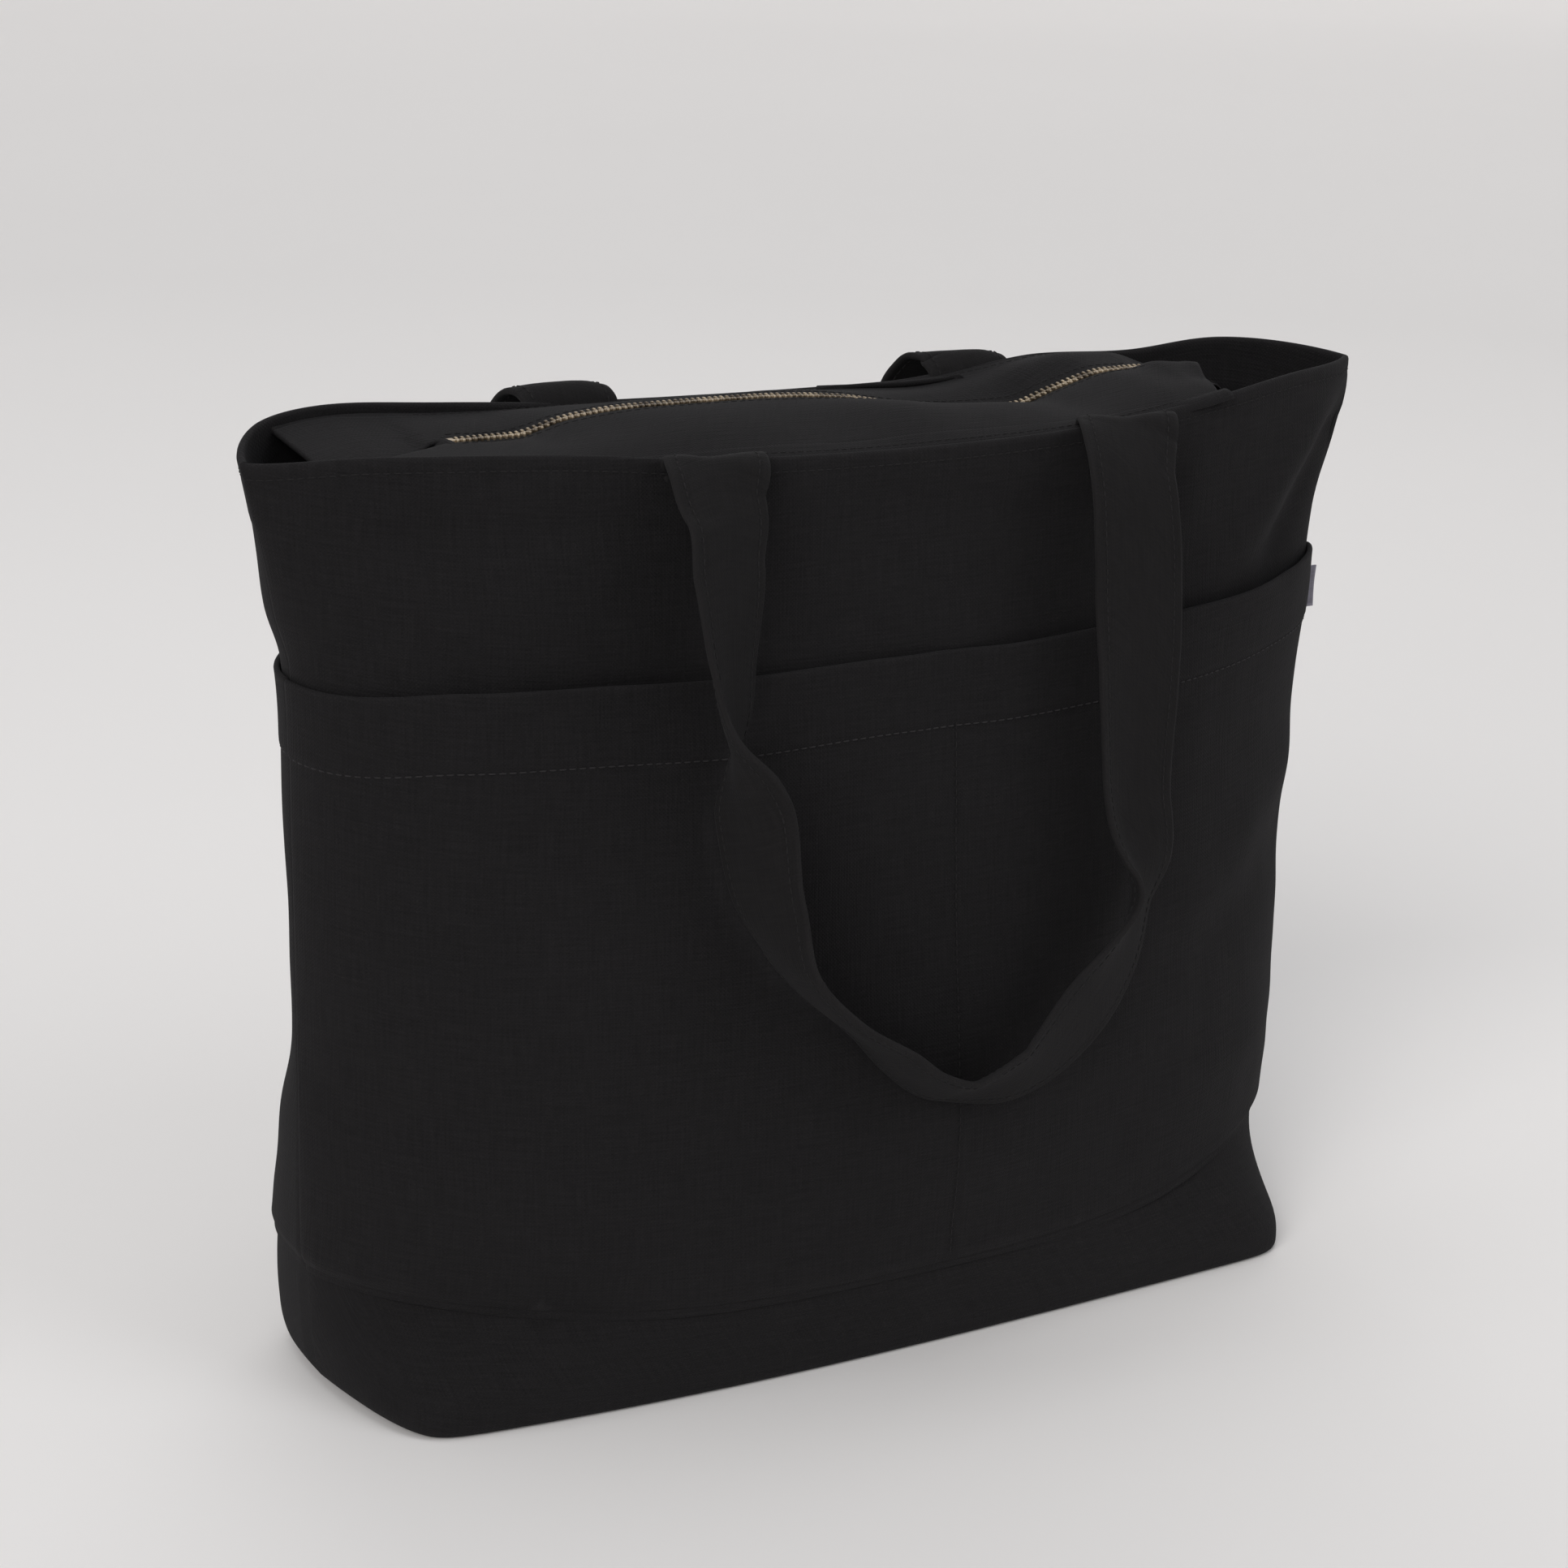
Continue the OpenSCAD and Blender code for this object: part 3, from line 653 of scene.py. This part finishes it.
def strap_surface(route, v):
    """Centre surface and normals of a strap; v runs across it from -1 to 1."""
    stations = np.array(route, float)
    run = np.concatenate([[0], np.cumsum(np.linalg.norm(np.diff(stations[:, :3], axis=0), axis=1))])
    place = np.linspace(0, run[-1], STRAP_STEPS)
    x, y, z, turn, curl = (keyed(list(zip(run, column)), place) for column in stations.T)
    centre = across(x, y, z)
    ahead = unit(np.gradient(centre, axis=0))
    hump = int(np.argmax(z[:STRAP_STEPS // 2]))
    last_hump = STRAP_STEPS // 2 + int(np.argmax(z[STRAP_STEPS // 2:]))
    plane = np.hypot(ahead[:, 0], ahead[:, 2])
    sure = (np.arange(STRAP_STEPS) > hump) & (np.arange(STRAP_STEPS) < last_hump) & (plane > 0.75)
    heading = np.unwrap(np.arctan2(ahead[sure, 0], -ahead[sure, 2]))
    heading = np.interp(place, place[sure], heading)
    blend_ends = ramp(place, run[3], run[8]) * (1 - ramp(place, run[-9], run[-4]))
    heading = np.where(place < run[-1] / 2, heading * blend_ends, math.pi + (heading - math.pi) * blend_ends)
    turn = np.radians(turn)
    level = across(np.cos(heading), 0, np.sin(heading))
    forward = np.array([0.0, -1.0, 0.0])
    wide = np.cos(turn)[:, None] * level + np.sin(turn)[:, None] * forward
    wide = unit(wide - ahead * np.sum(wide * ahead, -1, keepdims=True))
    out = np.cross(ahead, wide)
    v = np.asarray(v, float)[:, None]
    hook = np.clip((0.15 - v) / 1.15, 0, 1) ** 2 * curl[None, :]
    loose = ramp(place, run[8], run[10]) * (1 - ramp(place, run[-11], run[-9]))
    sag = ripples(81, place[None, :], v * 19, 60, 140, 0.5) * loose
    reach = v * STRAP_WIDTH / 2 - np.sign(v) * np.clip(np.abs(hook) - 3, 0, None) * 0.4
    surface = centre[None] + wide[None] * reach[..., None] + out[None] * (hook + sag)[..., None]
    for top in (hump, last_hump):
        surface[..., 2] -= 2.6 * np.abs(v) ** 3 * np.exp(-((place[None, :] - place[top]) / 10) ** 2)
    return surface, grid_normals(surface)


def make_handle(route, name):
    """One folded strap: both sewn ends, the bends over the mouth edge and the hanging loop."""
    v = np.sin(np.linspace(-1, 1, 19) * math.pi / 2)
    surface, normals = strap_surface(route, v)
    pad = STRAP_THICK / 2 * (1 - 0.18 * np.exp(-((np.abs(v) - 0.83) / 0.05) ** 2))[:, None, None]
    strap = slab(name, surface + normals * pad, surface - normals * pad, strap_cloth, rim=3)
    piece = dress(strap, "strap", name)
    rows = []
    for edge in (-0.83, 0.83):
        middle, up = strap_surface(route, [edge - 0.02, edge, edge + 0.02])
        for hand in (-1, 1):
            rows.append((middle[1] + up[1] * hand * (STRAP_THICK / 2 - 0.1), up[1] * hand))
    sewn = dress(stitches(name + "_stitching", rows, dark_thread, radius=0.28), "strap")
    for made in (piece, sewn):
        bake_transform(made)


def make_strap_ends(route, name, face):
    """The patches that the strap ends are sewn to, inside the mouth."""
    patches = []
    for x in (route[0][0], route[-1][0]):
        patch_x = np.linspace(x - 21, x + 21, 20)[None, :]
        z = np.linspace(334, 366, 16)[:, None]
        y = face * (np.abs(route[0][1]) - 3.4) + 0 * z + ripples(91, patch_x, z, 30, 60, 0.2)
        y = y - face * 0.0009 * (patch_x - x) ** 2
        outer, inner = across(patch_x, y + face * 0.7, z), across(patch_x, y - face * 0.7, z)
        patches.append(slab(name + ("_left" if x < 0 else "_right"), outer, inner, canvas, rim=3))
    dress(patches[0], "strap", name)
    dress(patches[1], "strap")
    for made in patches:
        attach(made, "bag")


# ---------------------------------------------------------------- zip
zip_low, zip_high = (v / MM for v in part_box("zip_slider"))
SLIDER_X = (zip_low[0] + zip_high[0]) / 2
ZIP_Y = (zip_low[1] + zip_high[1]) / 2
CHAIN_END_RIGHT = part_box("front_zip_tape")[1][0] / MM
CHAIN_END_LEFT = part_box("front_zip_tape")[0][0] / MM
# how far the zip stands above the CAD tape
ZIP_LIFT = 1.5
FLAT_ZIP_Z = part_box("front_zip_tape")[1][2] / MM - 0.3 + ZIP_LIFT
# height of the closed teeth across the bag: flat where the slider stops, pulled down by the right strap
CHAIN = [(-180, FLAT_ZIP_Z), (-138, FLAT_ZIP_Z), (-118, 376), (-85, 378.5), (-34, 378),
         (5, 375), (45, 367.5), (86, 365.5), (106, 371), (132, 376.5), (148, 376.5), (163, FLAT_ZIP_Z),
         (176, FLAT_ZIP_Z), (183, FLAT_ZIP_Z - 5)]
FACING_THICK = 1.8
HINGE_Y = {FRONT: -43, BACK: 43}
# left and right end of a facing beside the mouth edge and beside the zip
FACING_ENDS = {FRONT: ((-226, -167), (150, 173)), BACK: ((-224, -222), (150, 173))}


def mouth_rim(face, x):
    """The mouth edge above a place across the bag, as (depth, height)."""
    x = np.asarray(x, float)
    a = np.arcsin(np.clip(x / half_width(x / 250, MOUTH_Z), -1, 1)) * 2 / math.pi
    rim = shell(face, a, mouth_edge(face, a) - EDGE_DROP, -CANVAS)
    return rim[..., 1], rim[..., 2]


def zip_side(face, x):
    """Depth and height of a facing's inner edge; left of the zip the rear one passes under the front one."""
    beyond = ramp(-x, 167, 200) if face == BACK else 0.0
    aside = 2.8 + 3.7 * np.exp(-((x + 145) / 11) ** 4)
    return ZIP_Y + face * aside - 20 * beyond, keyed(CHAIN, x) + 0.5 - 2.5 * ramp(beyond, 0, 0.3)


def facing_height(face, x, y):
    """Height of the puffed strip between the mouth edge and the zip."""
    edge_y, edge_z = mouth_rim(face, x)
    edge_y = edge_y - face * 0.5
    chain_y, chain_z = zip_side(face, x)
    t = np.clip((y - edge_y) / (chain_y - edge_y), 0, 1)
    rise = mix(3.4, 6.0, np.exp(-((x - 45) / 45) ** 2)) if face == FRONT else 1.2
    waves = ripples(101 + face, x, y * 1.6, 50, 120, 0.9)
    dome = rise * np.sin(math.pi * t**1.15) ** 0.8 + waves * np.sin(math.pi * t)
    dome = dome * mix(0.25, 1, ramp(x, -180, -110))
    lip = 6.0 * np.exp(-((x - 163) / 15) ** 2) * ramp(t, 0.4, 0.92) if face == FRONT else 0.0
    return mix(edge_z + mix(-2.2, 1.3, ramp(x, -160, -60)), chain_z, t**1.1) + dome + lip


def facing_rows(face, x, count, part):
    """Depths of the rows of the sewn band beside the mouth, or of the flap from the fold to the zip."""
    edge_y, _ = mouth_rim(face, x)
    edge_y = edge_y - face * 0.5
    turn = HINGE_Y[face]
    fold_y = np.maximum(turn, edge_y + 3) if face == FRONT else np.minimum(turn, edge_y - 3)
    chain_y, _ = zip_side(face, x)
    share = np.linspace(0, 1, count)[:, None]
    return mix(edge_y, fold_y, share) if part == "band" else mix(fold_y, chain_y, share)


def make_facing(face, name):
    """The strip between mouth and zip: a sewn band that stays, and a flap rolled over at its fold that
    reaches to the zip.
    """
    (rim_left, zip_left), (rim_right, zip_right) = FACING_ENDS[face]
    along = np.linspace(0, 1, 240)[None, :]
    pieces = []
    for part, count, start, end in (("band", 6, 0, 0.12), ("flap", 34, 0.12, 1)):
        across_strip = np.linspace(start, end, count)[:, None]
        x = mix(mix(rim_left, zip_left, across_strip), mix(rim_right, zip_right, across_strip), along)
        y = facing_rows(face, x, count, part)
        top = across(x, y, facing_height(face, x, y))
        if part == "flap":
            turn_y, turn_z = HINGE_Y[face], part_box(name)[0][2] / MM + 0.6
            roll = []
            reach_y, reach_z = top[0, :, 1] - turn_y, top[0, :, 2] - turn_z
            free = mix(0.04, 1, ramp(top[0, :, 0], -160, -110))
            for degrees in (80, 64, 48, 32, 16):
                angle = math.radians(degrees) * free
                c, s = np.cos(angle), np.sin(angle) * face
                roll_y = turn_y + reach_y * c + reach_z * s
                roll_z = turn_z - reach_y * s + reach_z * c - 0.15
                roll.append(across(top[0, :, 0], roll_y, roll_z))
            top = np.concatenate([np.array(roll), top])
        normals = grid_normals(top)
        normals = normals * np.sign(normals[..., 2:3].mean())
        label = name if part == "flap" else name + "_band"
        pieces.append(slab(label, top, top - normals * FACING_THICK, canvas, rim=3))
    band, flap = pieces
    line = np.linspace(CHAIN_END_LEFT + 1, rim_right - 3, 700)
    edge_y, _ = mouth_rim(face, line)
    edge_y = edge_y - face * 3.4
    zip_y = np.full(700, ZIP_Y + face * 7.5)

    def on_facing(y):
        points = across(line, y, facing_height(face, line, y))
        up = np.tile([0.0, 0.0, 1.0], (len(line), 1))
        return points, up

    sewn_edge = stitches(name + "_edge_stitching", [on_facing(edge_y)], dark_thread, radius=0.22)
    dress(sewn_edge, "canvas")
    sewn_zip = stitches(name + "_zip_stitching", [on_facing(zip_y)], dark_thread, radius=0.22)
    dress(sewn_zip, "canvas")
    dress(flap, "canvas", name)
    dress(band, "canvas")
    for made in (band, sewn_edge):
        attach(made, "bag")
    for made in (flap, sewn_zip):
        open_with_zip(made)


def open_with_zip(piece):
    """Bakes the piece's transform into its mesh."""
    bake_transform(piece)


def make_tape(face, name):
    """One zip tape, with the bead that the teeth are clamped to."""
    x = np.linspace(CHAIN_END_LEFT, CHAIN_END_RIGHT, 260)[None, :]
    y = ZIP_Y + face * np.linspace(1.9, 14, 9)[:, None]
    z = keyed(CHAIN, x) - 0.2 - 0.06 * (np.abs(y - ZIP_Y) - 1.9)
    bead = 0.35 * np.exp(-((np.abs(y - ZIP_Y) - 2.3) / 0.5) ** 2)
    top, low = across(x, y, z + 0.3 + bead), across(x, y, z - 0.3 - bead)
    piece = dress(slab(name, top, low, tape_cloth, rim=2), "tape", name)
    open_with_zip(piece)


def metal(name, blocks, bevel):
    """Bevelled metal made of boxes given as (low corner, high corner), joined into one piece."""
    work = bmesh.new()
    for low, high in blocks:
        low, high = np.array(low, float), np.array(high, float)
        made = bmesh.ops.create_cube(work, size=1.0)["verts"]
        for vert in made:
            vert.co = Vector(((low + high) / 2 + np.array(vert.co) * (high - low)) * MM)
    bmesh.ops.bevel(work, geom=list(work.edges), offset=bevel * MM, segments=2, affect="EDGES", profile=0.6)
    mesh = bpy.data.meshes.new(name)
    work.to_mesh(mesh)
    work.free()
    mesh.polygons.foreach_set("use_smooth", [True] * len(mesh.polygons))
    mesh.materials.append(brass)
    return add_object(name + "_metal", mesh)


def make_teeth(face, name):
    """One row of metal teeth clamped to the tape's bead, half a pitch out of step with the other row."""
    pitch = 2.5
    first = CHAIN_END_LEFT + 3 + (pitch / 2 if face == BACK else 0)
    head = ((-0.62, -0.5, -1.05), (0.62, 1.5, 1.05))
    clamp = ((-0.55, 1.2, -1.35), (0.55, 3.0, 1.35))
    tooth = metal("tooth", [head, clamp], 0.3)
    verts = np.array([v.co for v in tooth.data.vertices]) / MM
    shapes = [list(p.vertices) for p in tooth.data.polygons]
    points, faces = [], []
    for x in np.arange(first, SLIDER_X - 3, pitch):
        z = float(keyed(CHAIN, x))
        tilt = math.atan2(float(keyed(CHAIN, x + 1)) - float(keyed(CHAIN, x - 1)), 2)
        c, s = math.cos(tilt), math.sin(tilt)
        along = x + verts[:, 0] * c - verts[:, 2] * s
        up = z + verts[:, 0] * s + verts[:, 2] * c
        faces += [[len(points) * len(verts) + n for n in shape] for shape in shapes]
        points.append(across(along, ZIP_Y + face * verts[:, 1], up))
    bpy.data.objects.remove(tooth)
    points = np.concatenate(points)
    row = make_mesh(name, points, faces, points[:, :2], brass)
    row.name = name + "_metal"
    open_with_zip(dress(row, "brass", name))


def make_stops():
    """The two top stops at the zip's right end, and the bottom stop across both rows at its left end."""
    for name, face, body in (("front_top_stop", FRONT, "front_flap"), ("rear_top_stop", BACK, "rear_flap")):
        x = CHAIN_END_RIGHT - 1.7
        z = float(keyed(CHAIN, x))
        near, far = ZIP_Y + face * 0.4, ZIP_Y + face * 2.3
        piece = metal(name, [((x - 1.1, min(near, far), z - 1.2), (x + 1.1, max(near, far), z + 1.2))], 0.3)
        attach(dress(piece, "brass", name), body)
    x = CHAIN_END_LEFT + 1.3
    z = float(keyed(CHAIN, x))
    piece = metal("zip_bottom_stop", [((x - 1.3, ZIP_Y - 2, z - 1.2), (x + 1.3, ZIP_Y + 2, z + 1.2))], 0.3)
    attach(dress(piece, "brass", "zip_bottom_stop"), "bag")


def make_tabs():
    """Folded canvas tabs that close the two ends of the zip."""
    for name, x0, x1, inner_x, drop in (
            ("left_zip_tab", CHAIN_END_LEFT - 11.5, CHAIN_END_LEFT + 0.5, CHAIN_END_LEFT, 7),
            ("right_zip_tab", CHAIN_END_RIGHT, CHAIN_END_RIGHT + 11.5, CHAIN_END_RIGHT, 9)):
        x = np.linspace(x0, x1, 14)[None, :]
        y = ZIP_Y + np.linspace(-11.5, 11.5, 24)[:, None]
        z = keyed(CHAIN, x) + 0.3 * np.sin(y / 4) - drop * ramp(np.abs(x - inner_x), 0, 12)
        piece = dress(slab(name, across(x, y, z + 1.0), across(x, y, z - 1.6), canvas, rim=4), "canvas", name)
        seam_z = float(keyed(CHAIN, inner_x)) + 0.9
        seam = across(inner_x, np.linspace(ZIP_Y - 10, ZIP_Y + 10, 60), seam_z)
        rows = [(seam, np.tile([0.0, 0.0, 1.0], (60, 1)))]
        sewn = dress(stitches(name + "_stitching", rows, dark_thread, radius=0.25), "canvas")
        for made in (piece, sewn):
            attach(made, "bag")


def placed_blocks(centre, blocks):
    """Blocks given as corners measured from a centre, moved to their place."""
    return [(centre + np.array(low), centre + np.array(high)) for low, high in blocks]


def make_slider():
    """The slider's plates, side lips, wedge and bridge, and the pierced puller that hangs on the bridge."""
    plates = [((-5.5, -4.4, 1.6), (5.5, 4.4, 2.7)), ((-5.5, -4.4, -2.7), (5.5, 4.4, -1.6))]
    wedge = [((1.8, -1.3, -2), (5.0, 1.3, 2))]
    bridge = [((-4.4, -0.9, 2.3), (-3.0, 0.9, 5.2)), ((3.0, -0.9, 2.3), (4.4, 0.9, 5.2)),
              ((-4.4, -0.9, 4.1), (4.4, 0.9, 5.2))]
    lips = []
    for y in (-5, 5):
        lips.append(((-5.2, y - 0.5, 0.7), (5.2, y + 0.5, 2.6)))
        lips.append(((-5.2, y - 0.5, -2.6), (5.2, y + 0.5, -0.7)))
    blocks = placed_blocks(np.array([SLIDER_X, ZIP_Y, FLAT_ZIP_Z]), plates + wedge + bridge + lips)
    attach(dress(metal("zip_slider", blocks, 0.35), "brass", "zip_slider"), "zip_slider")

    low, high = (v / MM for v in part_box("zip_puller"))
    tip = low[0] - SLIDER_X
    cross_bar = [((-0.7, -3.4, -0.7), (0.7, 3.4, 0.7))]
    sides = []
    for hand in (-1, 1):
        arm, edge = hand * 2.7, hand * 2.5
        sides.append(((-6.4, arm - 0.7, -0.7), (0.5, arm + 0.7, 0.7)))
        sides.append(((tip + 2, edge - 0.9, -0.6), (-10, edge + 0.9, 0.6)))
    leaf = [((-11, -3.4, -0.75), (-5.6, 3.4, 0.75)), ((tip, -3.4, -0.75), (tip + 3, 3.4, 0.75)),
            ((tip + 2, -2.6, -0.3), (-9, 2.6, 0.3))]
    level = (low[2] + high[2]) / 2
    blocks = placed_blocks(np.array([SLIDER_X, ZIP_Y, level]), cross_bar + sides + leaf)
    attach(dress(metal("zip_puller", blocks, 0.3), "brass", "zip_puller"), "zip_puller")


# ---------------------------------------------------------------- floor, light and camera
def floor_material(name, color):
    """Matt paint with faint clouds, and painted light: a little lighter round the bag than far away."""
    material, tree, shader = new_material(name)
    where = node(tree, "ShaderNodeTexCoord").outputs["Object"]
    tone = remap(tree, noise(tree, where, 1.5, 3.0), (0.0, 1.0), (0.985, 1.015))
    # painted light: the paint is lightened near the bag and darkened far from it, in place of even lighting
    far = node(tree, "ShaderNodeVectorMath", {0: where}, operation="LENGTH").outputs["Value"]
    tone = maths(tree, "MULTIPLY", tone, remap(tree, far, (0.3, 2.2), (1.06, 0.88)))
    tint = node(tree, "ShaderNodeVectorMath", {0: color, "Scale": tone}, operation="SCALE").outputs[0]
    tree.links.new(tint, shader.inputs["Base Color"])
    shader.inputs["Roughness"].default_value = 0.8
    shader.inputs["Specular IOR Level"].default_value = 0.05
    return material


def make_backdrop():
    """A wide pale floor that bends up into a low wall all round, too far away to hide the bag."""
    flat_radius, bend_radius, wall_top = 5.0, 1.0, 2.5
    profile = [(0.0, 0.0), (1.0, 0.0), (3.0, 0.0), (flat_radius, 0.0)]
    for k in range(1, 17):
        bend = math.pi / 2 * k / 16
        profile.append((flat_radius + bend_radius * math.sin(bend), bend_radius * (1 - math.cos(bend))))
    profile.append((flat_radius + bend_radius, wall_top))
    sides = 72
    verts = []
    for out, up in profile:
        for k in range(sides):
            around = 2 * math.pi * k / sides
            verts.append((out * math.cos(around), out * math.sin(around), up))
    faces = []
    for ring in range(len(profile) - 1):
        for k in range(sides):
            here, beyond = ring * sides, (ring + 1) * sides
            after = (k + 1) % sides
            faces.append((here + k, beyond + k, beyond + after, here + after))
    mesh = bpy.data.meshes.new("backdrop")
    mesh.from_pydata(verts, [], faces)
    mesh.polygons.foreach_set("use_smooth", [True] * len(mesh.polygons))
    mesh.materials.append(floor_material("backdrop_paint", (0.82, 0.804, 0.796)))
    sweep = add_object("backdrop", mesh)
    sweep.visible_shadow = False


def make_light(name, place, spread, power, color):
    """A soft far light that shines from place towards the bag; spread is its width in degrees."""
    light = bpy.data.lights.new(name, "SUN")
    light.angle = math.radians(spread)
    light.energy = power
    light.color = color
    lamp = add_object(name, light)
    lamp.location = place
    lamp.rotation_euler = (Vector((0, 0, 0.2)) - Vector(place)).to_track_quat("-Z", "Y").to_euler()


def make_lights():
    """Key from the left, weaker fill from the right, a little from above and behind, and an even pale sky."""
    make_light("key", (-1.9, -1.4, 1.7), 34, 1.50, (1.0, 0.985, 0.97))
    make_light("fill", (1.5, -1.9, 1.9), 34, 0.40, (0.97, 0.98, 1.0))
    make_light("top", (-0.2, 0.1, 2.3), 40, 0.46, (1, 1, 1))
    make_light("back", (1.3, 2.3, 1.7), 50, 0.50, (1, 1, 1))
    world = bpy.data.worlds.new("studio")
    world.use_nodes = True
    world.node_tree.nodes["Background"].inputs["Color"].default_value = (0.9, 0.91, 0.93, 1)
    world.node_tree.nodes["Background"].inputs["Strength"].default_value = 0.36
    bpy.context.scene.world = world
    bpy.context.scene.view_settings.view_transform = "Standard"


# direction, elevation and roll of the camera in degrees, distance in metres, and lens in millimetres
CAMERA_AZIMUTH = -31.2
CAMERA_ELEVATION = 18.6
CAMERA_ROLL = 2.5
CAMERA_DISTANCE = 1.4747
CAMERA_LENS = 83.85


def make_camera():
    """A long lens in front of the bag's left half, a little above it and slightly rolled."""
    azimuth, elevation, roll = (math.radians(v) for v in (CAMERA_AZIMUTH, CAMERA_ELEVATION, CAMERA_ROLL))
    flat = math.cos(elevation)
    back = Vector((math.sin(azimuth) * flat, -math.cos(azimuth) * flat, math.sin(elevation)))
    level = Vector((math.cos(azimuth), math.sin(azimuth), 0))
    upright = back.cross(level)
    right = level * math.cos(roll) + upright * math.sin(roll)
    up = upright * math.cos(roll) - level * math.sin(roll)
    camera = bpy.data.cameras.new("camera")
    camera.lens = CAMERA_LENS
    camera.sensor_width = 36
    holder = add_object("camera", camera)
    place = Vector((0, 0, 0.2)) + back * CAMERA_DISTANCE - right * 0.0161 + up * 0.01835
    turn = Matrix((right, up, back)).transposed().to_4x4()
    holder.matrix_world = Matrix.Translation(place) @ turn
    bpy.context.scene.camera = holder


make_panel(FRONT, "front_panel")
make_panel(BACK, "back_panel")
make_pocket(FRONT, "front_pocket")
make_pocket(BACK, "back_pocket")
make_base()
make_seam_bindings()
make_side_tag()
make_handle(FRONT_STRAP, "front_handle")
make_handle(REAR_STRAP, "rear_handle")
make_strap_ends(FRONT_STRAP, "front_strap_ends", FRONT)
make_strap_ends(REAR_STRAP, "rear_strap_ends", BACK)
make_facing(FRONT, "front_zip_facing")
make_facing(BACK, "rear_zip_facing")
make_tape(FRONT, "front_zip_tape")
make_tape(BACK, "rear_zip_tape")
make_teeth(FRONT, "front_zip_teeth")
make_teeth(BACK, "rear_zip_teeth")
make_stops()
make_tabs()
make_slider()
make_backdrop()
make_lights()
make_camera()
